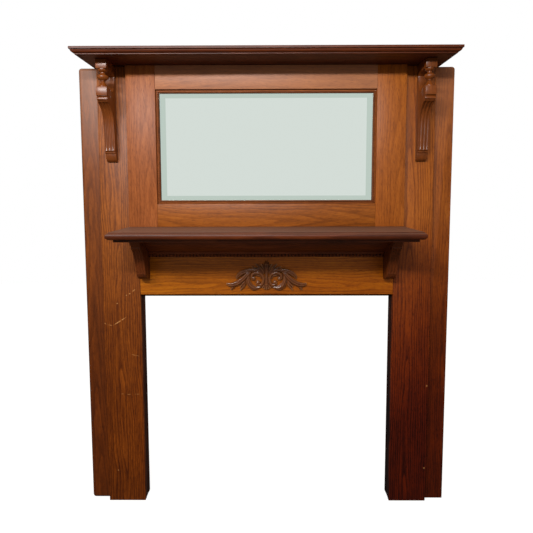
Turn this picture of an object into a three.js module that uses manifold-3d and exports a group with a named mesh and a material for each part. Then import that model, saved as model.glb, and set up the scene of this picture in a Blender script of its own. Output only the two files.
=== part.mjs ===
// Fireplace mantel in stained oak: two legs of flat boards, a frieze with a carved ornament,
// a deep mid shelf on small brackets, a bevelled mirror in a rope moulding, and a top shelf
// on two fluted brackets with turned spindles.
// Sizes are in millimetres. x runs to the right, y into the wall, z up from the floor.
import * as THREE from 'three';
import { mergeVertices } from 'three/addons/utils/BufferGeometryUtils.js';
import Module from 'manifold-3d';

const wasm = await Module();
wasm.setup();

// Driving sizes: legs and opening
const gap = 0.3; // left between pieces that touch
const overlap = 1; // shared by the parts of one solid where they join
const boardThickness = 19;
const openingWidth = 1067;
const openingHeight = 920;
const friezeHeight = 288; // frieze from the opening up to the mid shelf's top
const pilasterWidth = 158;
const outerReveal = 81.5; // outer board seen past the pilaster
const outerLap = 50; // outer board hidden behind the pilaster
const outerCornerRadius = 12;
const legDepth = 73; // wall to the pilaster's face
const liningDrop = 11; // head lining seen under the frieze
const liningSetback = 1;
const filletDepth = 19; // back fillet of the jamb

// Driving sizes: top shelf
const soffitHeight = 1861;
const topShelfThickness = 26;
const topShelfOverhang = 52; // past the upper bracket
const topShelfReach = 238;
const topMouldingReach = 17.5;

// Driving sizes: mid shelf and what is under it
const midShelfThickness = 28;
const midShelfOverhang = 33.5; // past the opening's side
const midShelfReach = 333;
const nosingReach = 12;
const stripThickness = 10;
const stripSideSetback = 9;
const stripFrontSetback = 11;
const friezeRise = 42; // frieze board above the mid shelf, behind the mirror frame
const coveReach = 85;
const coveHeight = 78;
const coveFillet = 28;
const coveQuirk = 4; // step between the fillet and the hollow
const coveFoot = 14;
const beadStripHeight = 11;
const beadPitch = 14;
const beadDepth = 4;

// Driving sizes: small brackets
const smallBracketThickness = 38;
const smallBracketReach = 153;
const smallBracketHeight = 182;
const smallBracketInset = 5.5; // from the opening's side to the bracket

// Driving sizes: mirror frame
const stileLap = 34; // mirror frame in front of each pilaster
const stileWidth = 118;
const railWidth = 95;
const ropeWidth = 14;
const ropeCoreWidth = 7;
const ropePitch = 10;
const ropeProud = 8; // ridge of the rope in front of the glass
const ropeTwist = 3.2;
const glassThickness = 5;
const glassClearance = 3;
const bevelWidth = 19;
const bevelDrop = 1.6;
const backingThickness = 6;
const backingLap = 45;

// Driving sizes: upper brackets and spindles
const bracketThickness = 42;
const bracketReach = 108;
const bracketClearance = 45.5; // from the mirror frame's side to the bracket
const topBlockHeight = 34;
const spindleHeight = 69;
const squareBlockHeight = 33;
const scrollHeight = 248; // from the square block down to the bracket's foot
const bracketWeb = 17; // plate left behind the spindle
const fluteRadius = 5.7;
const fluteDepth = 3.6;
const fluteMargin = 1; // flat left outside the outer flutes
const fluteCount = 3;

// Driving sizes: hidden rails against the wall
const wallRailHeight = 70;
const wallRailDrop = 8; // below the mid shelf's top
const topRailDrop = 6; // below the top shelf

// Driving sizes: carved ornament
const ornamentHeight = 134;
const ornamentRelief = 17;
const ornamentSink = 2; // strokes run this far behind the face before they are cut flat
const ornamentFoot = 15; // above the frieze's lower edge

// Places that follow from the driving sizes
const pilasterFace = -legDepth;
const outerFace = pilasterFace + boardThickness;
const frameFace = pilasterFace - boardThickness;
const openingSide = openingWidth / 2;
const pilasterSide = openingSide + pilasterWidth;
const bodySide = pilasterSide + outerReveal;
const headLiningBottom = openingHeight - liningDrop;
const midShelfTop = openingHeight + friezeHeight;
const midShelfBottom = midShelfTop - midShelfThickness;
const stripBottom = midShelfBottom - stripThickness;
const coveBottom = stripBottom - coveHeight;
const smallBracketOuter = openingSide - smallBracketInset;
const smallBracketInner = smallBracketOuter - smallBracketThickness;
const midShelfSide = openingSide + midShelfOverhang;
const frameSide = openingSide + stileLap;
const mirrorSide = frameSide - stileWidth;
const mirrorBottom = midShelfTop + railWidth;
const mirrorTop = soffitHeight - railWidth;
const bracketCentre = frameSide + bracketClearance + bracketThickness / 2;
const topShelfSide = bracketCentre + bracketThickness / 2 + topShelfOverhang;
const topBlockBottom = soffitHeight - topBlockHeight;
const squareBlockTop = topBlockBottom - spindleHeight;
const squareBlockBottom = squareBlockTop - squareBlockHeight;
const wallRailTop = midShelfTop - wallRailDrop;
const wallRailCentre = wallRailTop - wallRailHeight / 2;

const mantel = new THREE.Group();
mantel.position.set(0, 0, -wallRailCentre);

function wood(color, roughness = 0.45) {
  return new THREE.MeshStandardMaterial({ color, roughness, metalness: 0 });
}

const oakBody = wood('#8f4a23');
const oakDark = wood('#55290f', 0.55);
const oakFrieze = wood('#8c4d17');
const oakShelf = wood('#5c3018', 0.4);
const oakCarved = wood('#6e3a20');
const plainBack = wood('#9a7a55', 0.8);
const mirrorSilver = new THREE.MeshStandardMaterial({ color: '#dfebe4', roughness: 0.05, metalness: 0.9 });

function addMesh(name, geometry, material) {
  const mesh = new THREE.Mesh(geometry, material);
  mesh.name = name;
  mantel.add(mesh);
}

// Closed mesh through rings of equal length, with a fan over each end
function ringSolid(rings) {
  const count = rings[0].length;
  const positions = rings.flat().flatMap((p) => [p.x, p.y, p.z]);
  const index = [];
  for (let r = 0; r + 1 < rings.length; r++) {
    for (let i = 0; i < count; i++) {
      const a = r * count + i;
      const b = r * count + ((i + 1) % count);
      index.push(a, b, b + count, a, b + count, a + count);
    }
  }
  const last = (rings.length - 1) * count;
  for (let i = 1; i + 1 < count; i++) {
    index.push(0, i + 1, i);
    index.push(last, last + i, last + i + 1);
  }
  let volume = 0;
  const corners = rings.flat();
  for (let t = 0; t < index.length; t += 3) {
    const [a, b, c] = [corners[index[t]], corners[index[t + 1]], corners[index[t + 2]]];
    volume += a.dot(b.clone().cross(c));
  }
  if (volume < 0) {
    index.reverse();
  }
  const geometry = new THREE.BufferGeometry();
  geometry.setAttribute('position', new THREE.Float32BufferAttribute(positions, 3));
  geometry.setIndex(index);
  return geometry;
}

function box(x0, x1, y0, y1, z0, z1) {
  const geometry = new THREE.BoxGeometry(x1 - x0, y1 - y0, z1 - z0);
  return geometry.translate((x0 + x1) / 2, (y0 + y1) / 2, (z0 + z1) / 2);
}

function shapeOf(points) {
  return new THREE.Shape(points.map(([u, v]) => new THREE.Vector2(u, v)));
}

// Side outline as [reach in front of face, z], extruded from x0 to x1
function sideExtrusion(points, face, x0, x1) {
  const shape = shapeOf(points.map(([reach, z]) => [face - reach, z]));
  const geometry = new THREE.ExtrudeGeometry(shape, { depth: x1 - x0, bevelEnabled: false });
  const turn = new THREE.Matrix4().makeBasis(
    new THREE.Vector3(0, 1, 0),
    new THREE.Vector3(0, 0, 1),
    new THREE.Vector3(1, 0, 0),
  );
  return geometry.applyMatrix4(turn).translate(x0, 0, 0);
}

// Front outline as [x, z], extruded from y0 back to y1
function frontExtrusion(points, y0, y1) {
  const geometry = new THREE.ExtrudeGeometry(shapeOf(points), { depth: y1 - y0, bevelEnabled: false });
  return geometry.rotateX(Math.PI / 2).translate(0, y1, 0);
}

function toManifold(geometry) {
  const clean = geometry.clone();
  clean.deleteAttribute('normal');
  clean.deleteAttribute('uv');
  const merged = mergeVertices(clean, 1e-4);
  const vertProperties = new Float32Array(merged.attributes.position.array);
  const triVerts = new Uint32Array(merged.index.array);
  return new wasm.Manifold(new wasm.Mesh({ numProp: 3, vertProperties, triVerts }));
}

function fromManifold(solid) {
  const { vertProperties, triVerts } = solid.getMesh();
  const geometry = new THREE.BufferGeometry();
  geometry.setAttribute('position', new THREE.BufferAttribute(vertProperties, 3));
  geometry.setIndex(new THREE.BufferAttribute(triVerts, 1));
  return geometry;
}

function joined(geometries) {
  return geometries.map(toManifold).reduce((sum, part) => sum.add(part));
}

function spline(points, steps) {
  const curve = new THREE.SplineCurve(points.map(([u, v]) => new THREE.Vector2(u, v)));
  return curve.getPoints(steps).map((p) => [p.x, p.y]);
}

// Board with the same moulded edge on its front and both ends, from [reach, height] steps
function mouldedBoard(halfWidth, reach, back, bottom, steps) {
  const rings = steps.map(([out, height]) => {
    const x = halfWidth + out;
    const y = -(reach + out);
    const z = bottom + height;
    return [
      new THREE.Vector3(-x, y, z),
      new THREE.Vector3(x, y, z),
      new THREE.Vector3(x, back, z),
      new THREE.Vector3(-x, back, z),
    ];
  });
  return ringSolid(rings);
}

// Row of ridges along x or z: one zigzag outline as [along, reach]
function ridgeOutline(start, end, pitch, reach, twist) {
  const count = Math.max(1, Math.round((end - start) / pitch));
  const step = (end - start) / count;
  const points = [[start, 0], [start, reach - twist]];
  for (let i = 0; i < count; i++) {
    points.push([start + (i + 0.5) * step, reach]);
    points.push([start + (i + 1) * step, reach - twist]);
  }
  points.push([end, 0]);
  return points;
}

function addLegs() {
  const top = soffitHeight - gap;
  for (const [side, sign] of [['left', -1], ['right', 1]]) {
    const span = (a, b) => (sign > 0 ? [a, b] : [-b, -a]);
    const pilaster = span(openingSide, pilasterSide);
    addMesh(`pilaster_${side}`, box(...pilaster, pilasterFace, outerFace - gap, 0, top), oakBody);
    const arc = Array.from({ length: 5 }, (_, i) => {
      const angle = (i / 4) * (Math.PI / 2);
      const x = bodySide - outerCornerRadius * (1 - Math.cos(angle));
      return [x, top - outerCornerRadius * (1 - Math.sin(angle))];
    });
    const inner = pilasterSide - outerLap;
    const outline = [[inner, 0], [bodySide, 0], ...arc, [inner, top]];
    const placed = outline.map(([x, z]) => [sign * x, z]);
    const outerBack = outerFace + boardThickness;
    addMesh(`outer_board_${side}`, frontExtrusion(placed, outerFace, outerBack - gap), oakBody);
    const outerReturn = span(bodySide - boardThickness, bodySide);
    const returnTop = top - outerCornerRadius;
    addMesh(`outer_return_${side}`, box(...outerReturn, outerBack, 0, 0, returnTop), plainBack);
    const lining = span(openingSide + liningSetback, openingSide + liningSetback + boardThickness);
    const liningTop = headLiningBottom - gap;
    addMesh(`jamb_lining_${side}`, box(...lining, outerFace, -filletDepth - gap, 0, liningTop), oakDark);
    const fillet = span(openingSide, openingSide + boardThickness);
    addMesh(`jamb_fillet_${side}`, box(...fillet, -filletDepth, 0, 0, liningTop), oakDark);
  }
}

function addHead() {
  const side = openingSide - gap;
  const top = midShelfTop + friezeRise;
  addMesh('frieze', box(-side, side, pilasterFace, outerFace, openingHeight, top), oakFrieze);
  const liningSide = openingSide + boardThickness;
  const liningTop = headLiningBottom + boardThickness;
  const lining = box(-liningSide, liningSide, outerFace + gap, 0, headLiningBottom, liningTop);
  addMesh('head_lining', lining, oakDark);
  const railSide = bodySide - boardThickness - gap;
  const middle = box(-railSide, railSide, -boardThickness, 0, wallRailTop - wallRailHeight, wallRailTop);
  addMesh('back_rail_middle', middle, plainBack);
  const topRailTop = soffitHeight - topRailDrop;
  const topRail = box(-railSide, railSide, -boardThickness, 0, topRailTop - wallRailHeight, topRailTop);
  addMesh('back_rail_top', topRail, plainBack);
}

function addTopShelf() {
  const t = topShelfThickness;
  const m = topMouldingReach;
  const steps = [
    [0, 0],
    [0.1 * m, 0.18 * t],
    [0.35 * m, 0.2 * t],
    [0.62 * m, 0.32 * t],
    [0.74 * m, 0.48 * t],
    [0.7 * m, 0.6 * t],
    [0.66 * m, 0.64 * t],
    [m, 0.66 * t],
    [m, 0.96 * t],
    [0.93 * m, t],
  ];
  const board = mouldedBoard(topShelfSide, topShelfReach, 0, soffitHeight, steps);
  addMesh('top_shelf', board, oakShelf);
}

function addMidShelf() {
  const t = midShelfThickness;
  const n = nosingReach;
  const steps = [
    [0.1 * n, 0],
    [0.6 * n, 0.13 * t],
    [0.93 * n, 0.32 * t],
    [n, 0.52 * t],
    [0.82 * n, 0.73 * t],
    [0.4 * n, 0.83 * t],
    [0.32 * n, 0.94 * t],
    [0, t],
  ];
  const back = pilasterFace - gap;
  const shelf = mouldedBoard(midShelfSide, midShelfReach, back, midShelfBottom, steps);
  addMesh('mid_shelf', shelf, oakShelf);
  const stripSide = midShelfSide - stripSideSetback;
  const stripFront = -(midShelfReach - stripFrontSetback);
  const strip = box(-stripSide, stripSide, stripFront, back, stripBottom, midShelfBottom - gap);
  addMesh('mid_shelf_strip', strip, oakShelf);
}

function addUnderShelfMoulding() {
  const top = stripBottom - gap;
  const side = smallBracketInner - gap;
  const hollowReach = coveReach - coveQuirk - coveFoot;
  const hollowHeight = coveHeight - coveFillet - coveQuirk;
  const hollow = Array.from({ length: 9 }, (_, i) => {
    const angle = (i / 8) * (Math.PI / 2);
    const reach = coveFoot + hollowReach * (1 - Math.sin(angle));
    return [reach, coveBottom + coveQuirk + hollowHeight * Math.cos(angle)];
  });
  const outline = [
    [gap, top],
    [coveReach, top],
    [coveReach, stripBottom - coveFillet],
    ...hollow,
    [coveFoot, coveBottom + gap],
    [gap, coveBottom + gap],
  ];
  addMesh('under_shelf_moulding', sideExtrusion(outline, pilasterFace, -side, side), oakDark);
  const row = ridgeOutline(-side, side, beadPitch, coveFoot - gap, beadDepth);
  const shape = shapeOf(row.map(([along, reach]) => [along, -reach]));
  const strip = new THREE.ExtrudeGeometry(shape, { depth: beadStripHeight, bevelEnabled: false });
  addMesh('bead_strip', strip.translate(0, pilasterFace - gap, coveBottom - beadStripHeight), oakDark);
}

// Round cutters that follow a side curve, one for each flute
function fluteCutters(curve, face, centre, thickness, count) {
  const pitch = (thickness - 2 * fluteMargin) / count;
  const path = curve.map(([reach, z], i) => {
    const before = curve[Math.max(0, i - 1)];
    const after = curve[Math.min(curve.length - 1, i + 1)];
    const along = new THREE.Vector2(after[0] - before[0], after[1] - before[1]).normalize();
    const runOut = i === 0 || i === curve.length - 1 ? fluteDepth : 0;
    const offset = fluteRadius - fluteDepth + runOut;
    return [reach - along.y * offset, z + along.x * offset];
  });
  const ring = Array.from({ length: 6 }, (_, k) => ((k + 0.5) / 6) * 2 * Math.PI);
  return Array.from({ length: count }, (_, f) => {
    const x = centre + (f - (count - 1) / 2) * pitch;
    const rings = path.map(([reach, z], i) => {
      const before = path[Math.max(0, i - 1)];
      const after = path[Math.min(path.length - 1, i + 1)];
      const along = new THREE.Vector2(after[0] - before[0], after[1] - before[1]).normalize();
      return ring.map((angle) => {
        const out = Math.cos(angle) * fluteRadius;
        return new THREE.Vector3(
          x + Math.sin(angle) * fluteRadius,
          face - (reach - along.y * out),
          z + along.x * out,
        );
      });
    });
    return ringSolid(rings);
  });
}

function fluted(outline, curve, face, centre, thickness, count) {
  let solid = toManifold(sideExtrusion(outline, face, centre - thickness / 2, centre + thickness / 2));
  for (const cutter of fluteCutters(curve, face, centre, thickness, count)) {
    solid = solid.subtract(toManifold(cutter));
  }
  return fromManifold(solid);
}

function addUpperBrackets() {
  const foot = squareBlockBottom - scrollHeight;
  const place = ([reach, height]) => [reach * bracketReach, foot + height * scrollHeight];
  // Shares of the bracket's reach and of its drop below the square block
  const cove = spline([[0.98, 0.996], [0.91, 0.972], [0.815, 0.957]].map(place), 4);
  const sweep = [
    [0.79, 0.928], [0.67, 0.887], [0.52, 0.819], [0.41, 0.73],
    [0.355, 0.617], [0.32, 0.415], [0.295, 0.172],
  ];
  const curve = spline(sweep.map(place), 10);
  const base = spline([[0.2, 0.125], [0.18, 0.073], [0.15, 0.028], [0.083, 0]].map(place), 5);
  const behind = bracketReach - bracketThickness - gap;
  // Hollow behind the spindle, from the square block down, back and up along the web,
  // as shares of the way from the web to the block and of the spindle's height
  const hollow = [
    [1, 0], [0.88, -0.12], [0.75, -0.18], [0.55, -0.15], [0.37, -0.05],
    [0.21, 0.16], [0.09, 0.42], [0.03, 0.63], [0, 0.83],
  ];
  const notchPlace = ([share, height]) => {
    return [bracketWeb + share * (behind - bracketWeb), squareBlockTop + height * spindleHeight];
  };
  const notch = spline(hollow.map(notchPlace), 12);
  const outline = [
    [gap, soffitHeight - gap],
    [gap, foot],
    ...base.reverse(),
    place([0.241, 0.133]),
    place([0.241, 0.157]),
    ...curve.reverse(),
    place([0.815, 0.935]),
    ...cove.reverse(),
    [0.98 * bracketReach, squareBlockBottom - gap],
    [behind, squareBlockBottom - gap],
    ...notch,
    [0.5 * behind, topBlockBottom - 0.02 * spindleHeight],
    [behind, topBlockBottom],
    [behind, soffitHeight - gap],
  ];
  for (const [side, sign] of [['left', -1], ['right', 1]]) {
    const centre = sign * bracketCentre;
    const solid = fluted(outline, curve, pilasterFace, centre, bracketThickness, fluteCount);
    addMesh(`upper_bracket_${side}`, solid, oakCarved);
    addMesh(`bracket_spindle_${side}`, spindle(centre), oakCarved);
  }
}

// Turned spindle between its two square blocks, turned from one length of square stock
function spindle(centre) {
  const half = bracketThickness / 2;
  const y = pilasterFace - bracketReach + half;
  const r = half;
  // Shares of the stock's half width, and of the turned height from below
  const turning = [
    [0.9, 0], [0.9, 0.05], [0.55, 0.24], [0.36, 0.31], [0.4, 0.35], [0.62, 0.39],
    [0.96, 0.47], [1.06, 0.56], [0.96, 0.65], [0.6, 0.71], [0.42, 0.78],
    [0.44, 0.82], [0.62, 0.86], [0.86, 0.92], [0.9, 1],
  ];
  const profile = [
    new THREE.Vector2(0, -overlap),
    new THREE.Vector2(turning[0][0] * r, -overlap),
    ...turning.map(([radius, height]) => new THREE.Vector2(radius * r, height * spindleHeight)),
    new THREE.Vector2(turning.at(-1)[0] * r, spindleHeight + overlap),
    new THREE.Vector2(0, spindleHeight + overlap),
  ];
  const turned = new THREE.LatheGeometry(profile, 12).rotateX(Math.PI / 2);
  const blocks = [[squareBlockBottom, squareBlockTop], [topBlockBottom, soffitHeight - gap]];
  const square = blocks.map(([z0, z1]) => box(centre - half, centre + half, y - half, y + half, z0, z1));
  return fromManifold(joined([turned.translate(centre, y, squareBlockTop), ...square]));
}

function addSmallBrackets() {
  const foot = stripBottom - smallBracketHeight;
  const place = ([reach, height]) => [reach * smallBracketReach, foot + height * smallBracketHeight];
  // Shares of the bracket's reach and height
  const cove = spline([[1, 0.945], [0.95, 0.885], [0.876, 0.824]].map(place), 4);
  const sweep = [[0.83, 0.764], [0.7, 0.643], [0.608, 0.5], [0.523, 0.335], [0.438, 0.17]];
  const curve = spline(sweep.map(place), 7);
  const base = spline([[0.405, 0.137], [0.353, 0.088], [0.22, 0.025], [0.09, 0]].map(place), 4);
  const outline = [
    [gap, stripBottom - gap],
    [gap, foot],
    ...base.reverse(),
    ...curve.reverse(),
    place([0.876, 0.786]),
    ...cove.reverse(),
    [smallBracketReach, stripBottom - gap],
  ];
  const middle = (smallBracketInner + smallBracketOuter) / 2;
  for (const [side, sign] of [['left', -1], ['right', 1]]) {
    const solid = fluted(outline, curve, pilasterFace, sign * middle, smallBracketThickness, fluteCount);
    addMesh(`small_bracket_${side}`, solid, oakDark);
  }
}

function addMirrorFrame() {
  const back = pilasterFace - gap;
  const bottom = midShelfTop + gap;
  const top = soffitHeight - gap;
  addMesh('mirror_stile_left', box(-frameSide, -mirrorSide, frameFace, back, bottom, top), oakBody);
  addMesh('mirror_stile_right', box(mirrorSide, frameSide, frameFace, back, bottom, top), oakBody);
  const railSide = mirrorSide - gap;
  addMesh('mirror_rail_bottom', box(-railSide, railSide, frameFace, back, bottom, mirrorBottom), oakBody);
  addMesh('mirror_rail_top', box(-railSide, railSide, frameFace, back, mirrorTop, top), oakBody);
}

function addMirror() {
  const glassBack = pilasterFace - 2 * gap;
  const glassFace = glassBack - glassThickness;
  const side = mirrorSide - glassClearance;
  const bottom = mirrorBottom + glassClearance;
  const top = mirrorTop - glassClearance;
  const ring = (inset, y) => [
    new THREE.Vector3(-side + inset, y, bottom + inset),
    new THREE.Vector3(side - inset, y, bottom + inset),
    new THREE.Vector3(side - inset, y, top - inset),
    new THREE.Vector3(-side + inset, y, top - inset),
  ];
  const inset = bevelWidth + ropeWidth - glassClearance;
  const glass = ringSolid([ring(0, glassBack), ring(0, glassFace + bevelDrop), ring(inset, glassFace)]);
  addMesh('mirror_glass', glass, mirrorSilver);
  const lapSide = mirrorSide + backingLap;
  const backingBack = pilasterFace + backingThickness;
  const [backingBottom, backingTop] = [mirrorBottom - backingLap, mirrorTop + backingLap];
  const backing = box(-lapSide, lapSide, pilasterFace, backingBack, backingBottom, backingTop);
  addMesh('mirror_backing', backing, plainBack);
  addRope(glassFace);
}

// Four lengths of moulding: a flat outer part mitred at its ends, and a row of twists inside
function addRope(glassFace) {
  const back = glassFace - gap;
  const flatReach = ropeProud - ropeTwist - 0.6;
  const inset = ropeWidth - ropeCoreWidth;
  const outerX = mirrorSide - gap;
  const [outerLow, outerHigh] = [mirrorBottom + gap, mirrorTop - gap];
  const innerX = outerX - inset;
  const m = gap; // kept open at the mitres
  const levels = [['rope_bottom', outerLow, outerLow + inset], ['rope_top', outerHigh, outerHigh - inset]];
  for (const [name, z0, z1] of levels) {
    const flat = [[-outerX + m, z0], [outerX - m, z0], [innerX - m, z1], [-innerX + m, z1]];
    const [low, high] = z1 > z0 ? [z1 - overlap, z1 + ropeCoreWidth] : [z1 - ropeCoreWidth, z1 + overlap];
    const rowSide = innerX - 2 * overlap;
    const outline = ridgeOutline(-rowSide, rowSide, ropePitch, ropeProud, ropeTwist);
    const shape = shapeOf(outline.map(([along, reach]) => [along, -reach]));
    const row = new THREE.ExtrudeGeometry(shape, { depth: high - low, bevelEnabled: false });
    const solid = joined([frontExtrusion(flat, back - flatReach, back), row.translate(0, back, low)]);
    addMesh(name, fromManifold(solid), oakDark);
  }
  for (const [name, sign] of [['rope_left', -1], ['rope_right', 1]]) {
    const corners = [
      [outerX, outerLow + m],
      [outerX, outerHigh - m],
      [innerX, outerHigh - inset - m],
      [innerX, outerLow + inset + m],
    ];
    const flat = corners.map(([x, z]) => [sign * x, z]);
    const low = outerLow + inset + ropeCoreWidth + gap;
    const high = outerHigh - inset - ropeCoreWidth - gap;
    const outline = ridgeOutline(low, high, ropePitch, ropeProud, ropeTwist);
    const row = outline.map(([along, reach]) => [reach, along]);
    const edges = [sign * (innerX - ropeCoreWidth), sign * (innerX + overlap)].sort((a, b) => a - b);
    const twists = sideExtrusion(row, back, ...edges);
    const solid = joined([frontExtrusion(flat, back - flatReach, back), twists]);
    addMesh(name, fromManifold(solid), oakDark);
  }
}

// One carved stroke: a section swept along a path of [x, z], both as shares of the
// ornament's height. Widths and heights are shares of the height and of the relief.
function stroke(path, widths, heights, section, steps) {
  const h = ornamentHeight;
  const curve = new THREE.SplineCurve(path.map(([x, z]) => new THREE.Vector2(x * h, z * h)));
  const centres = curve.getPoints(steps);
  const share = (values, t) => {
    const place = t * (values.length - 1);
    const i = Math.min(values.length - 2, Math.floor(place));
    return values[i] + (values[i + 1] - values[i]) * (place - i);
  };
  const rings = centres.map((centre, i) => {
    const before = centres[Math.max(0, i - 1)];
    const after = centres[Math.min(steps, i + 1)];
    const across = new THREE.Vector2(before.y - after.y, after.x - before.x).normalize();
    const width = share(widths, i / steps) * h;
    const relief = share(heights, i / steps) * ornamentRelief;
    return section.map(([u, v]) => {
      const side = (u * width) / 2;
      const out = v < 0 ? v * ornamentSink : v * relief;
      return new THREE.Vector3(centre.x + across.x * side, -out, centre.y + across.y * side);
    });
  });
  return ringSolid(rings);
}

const rib = [[-1, -1], [-0.85, 0.6], [0, 1], [0.85, 0.6], [1, -1]];
const blade = [[-1, -1], [-1, 0.45], [-0.5, 1], [0, 0.6], [0.5, 1], [1, 0.45], [1, -1]];

function knob(x, z, radius, relief) {
  const h = ornamentHeight;
  const ball = new THREE.SphereGeometry(radius * h, 7, 4);
  ball.scale(1, (relief * ornamentRelief) / (radius * h), 1);
  return ball.translate(x * h, 0, z * h);
}

// Left half of the carving, then mirrored; the middle lobe, stem and shell stand alone
function ornamentHalf() {
  return [
    // side lobes of the palmette
    stroke(
      [[-0.037, 0.59], [-0.09, 0.724], [-0.172, 0.858]],
      [0.037, 0.067, 0.03],
      [0.53, 0.59, 0.35],
      rib,
      4,
    ),
    stroke(
      [[-0.075, 0.582], [-0.201, 0.731], [-0.328, 0.866]],
      [0.045, 0.09, 0.037],
      [0.47, 0.59, 0.29],
      blade,
      4,
    ),
    stroke(
      [[-0.112, 0.56], [-0.254, 0.687], [-0.47, 0.776]],
      [0.052, 0.09, 0.03],
      [0.47, 0.53, 0.24],
      blade,
      4,
    ),
    // upper leaf
    stroke(
      [
        [-0.097, 0.545], [-0.276, 0.649], [-0.47, 0.672], [-0.642, 0.642],
        [-0.821, 0.552], [-0.91, 0.463], [-0.925, 0.388],
      ],
      [0.06, 0.09, 0.112, 0.142, 0.149, 0.104, 0.045],
      [0.47, 0.59, 0.71, 0.76, 0.76, 0.59, 0.35],
      blade,
      8,
    ),
    // long leaf with a forked tip
    stroke(
      [
        [-0.478, 0.649], [-0.604, 0.537], [-0.716, 0.418], [-0.851, 0.306],
        [-1, 0.231], [-1.142, 0.209], [-1.254, 0.246],
      ],
      [0.06, 0.119, 0.142, 0.157, 0.149, 0.127, 0.052],
      [0.59, 0.82, 0.88, 0.88, 0.82, 0.76, 0.53],
      blade,
      8,
    ),
    stroke(
      [[-0.985, 0.209], [-1.067, 0.119], [-1.119, 0.037]],
      [0.104, 0.097, 0.045],
      [0.65, 0.59, 0.35],
      rib,
      3,
    ),
    // two small lower leaves
    stroke(
      [[-0.642, 0.403], [-0.731, 0.246], [-0.836, 0.134]],
      [0.06, 0.097, 0.037],
      [0.59, 0.65, 0.35],
      rib,
      4,
    ),
    stroke(
      [[-0.657, 0.321], [-0.709, 0.179], [-0.828, 0.03]],
      [0.06, 0.097, 0.045],
      [0.53, 0.59, 0.35],
      rib,
      4,
    ),
    // large C-shaped leaf down to the shell
    stroke(
      [
        [-0.493, 0.634], [-0.56, 0.493], [-0.575, 0.351], [-0.522, 0.209],
        [-0.403, 0.112], [-0.276, 0.112], [-0.134, 0.157],
      ],
      [0.052, 0.09, 0.127, 0.164, 0.172, 0.09, 0.037],
      [0.53, 0.71, 0.82, 0.82, 0.76, 0.59, 0.47],
      blade,
      10,
    ),
    // inner scroll with a knob at each end
    stroke(
      [
        [-0.41, 0.381], [-0.463, 0.44], [-0.433, 0.537], [-0.306, 0.582], [-0.179, 0.545],
        [-0.104, 0.44], [-0.104, 0.321], [-0.157, 0.216], [-0.246, 0.209], [-0.299, 0.261],
      ],
      [0.06, 0.067, 0.075, 0.082, 0.082, 0.075, 0.075, 0.067, 0.06, 0.052],
      [0.65, 0.71, 0.76, 0.76, 0.76, 0.76, 0.76, 0.71, 0.71, 0.65],
      rib,
      13,
    ),
    knob(-0.403, 0.396, 0.063, 0.76),
    knob(-0.246, 0.291, 0.071, 0.88),
  ];
}

function addOrnament() {
  const half = joined(ornamentHalf());
  const centre = [
    stroke([[0, 0.56], [0, 0.72], [0, 0.86], [0, 1]], [0.07, 0.15, 0.2, 0.04], [0.7, 0.9, 1, 0.4], rib, 6),
    stroke([[0, 0.6], [0, 0.46], [0, 0.3]], [0.12, 0.07, 0.09], [0.75, 0.7, 0.7], rib, 4),
  ];
  const ribs = 7;
  for (let i = 0; i < ribs; i++) {
    const lean = (i / (ribs - 1) - 0.5) * 2.2;
    const end = [0.24 * Math.sin(lean), 0.3 - 0.24 * Math.cos(lean)];
    const start = [0.03 * Math.sin(lean), 0.31];
    const middle = [(start[0] + end[0]) / 2, (start[1] + end[1]) / 2];
    centre.push(stroke([start, middle, end], [0.035, 0.065, 0.075], [0.5, 0.6, 0.6], rib, 3));
  }
  const whole = half.add(half.mirror([1, 0, 0])).add(joined(centre));
  const room = 4 * ornamentHeight;
  const behind = toManifold(box(-room, room, 0, room, -room, room));
  const carved = fromManifold(whole.subtract(behind));
  carved.translate(0, pilasterFace - gap, openingHeight + ornamentFoot);
  addMesh('carved_ornament', carved, oakCarved);
}

addLegs();
addHead();
addTopShelf();
addMidShelf();
addUnderShelfMoulding();
addUpperBrackets();
addSmallBrackets();
addMirrorFrame();
addMirror();
addOrnament();

const group = new THREE.Group();
group.add(mantel);

export default group;
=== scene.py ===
import math

import bpy
from mathutils import Matrix, Vector


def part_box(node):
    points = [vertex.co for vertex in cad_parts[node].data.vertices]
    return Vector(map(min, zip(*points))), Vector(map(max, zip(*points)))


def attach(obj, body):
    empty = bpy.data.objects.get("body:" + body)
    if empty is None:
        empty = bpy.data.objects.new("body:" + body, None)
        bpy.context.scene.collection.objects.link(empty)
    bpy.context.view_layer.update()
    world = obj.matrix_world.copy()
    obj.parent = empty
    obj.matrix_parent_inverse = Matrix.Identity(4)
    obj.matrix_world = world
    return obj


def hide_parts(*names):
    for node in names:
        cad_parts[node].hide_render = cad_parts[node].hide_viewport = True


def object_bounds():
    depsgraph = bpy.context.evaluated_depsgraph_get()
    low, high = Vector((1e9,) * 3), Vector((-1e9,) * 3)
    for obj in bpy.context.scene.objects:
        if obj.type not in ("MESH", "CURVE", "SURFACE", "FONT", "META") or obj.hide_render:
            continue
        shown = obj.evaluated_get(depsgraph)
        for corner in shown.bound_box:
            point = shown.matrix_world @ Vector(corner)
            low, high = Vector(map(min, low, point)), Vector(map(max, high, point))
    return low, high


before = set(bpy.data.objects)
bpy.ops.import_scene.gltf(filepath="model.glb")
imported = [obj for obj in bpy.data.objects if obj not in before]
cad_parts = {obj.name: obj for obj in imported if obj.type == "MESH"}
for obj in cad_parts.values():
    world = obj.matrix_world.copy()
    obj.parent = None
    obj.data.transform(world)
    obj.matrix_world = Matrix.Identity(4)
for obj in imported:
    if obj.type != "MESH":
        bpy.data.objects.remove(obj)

cadLow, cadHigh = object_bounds()
mm = 0.001
floorZ = cadLow.z
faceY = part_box("frieze")[0].y       # front of the frieze and of the pilasters
print("frame loaded")


def selectOnly(*pieces):
    bpy.ops.object.select_all(action="DESELECT")
    for piece in pieces:
        piece.select_set(True)
    if pieces:
        bpy.context.view_layer.objects.active = pieces[0]


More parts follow.
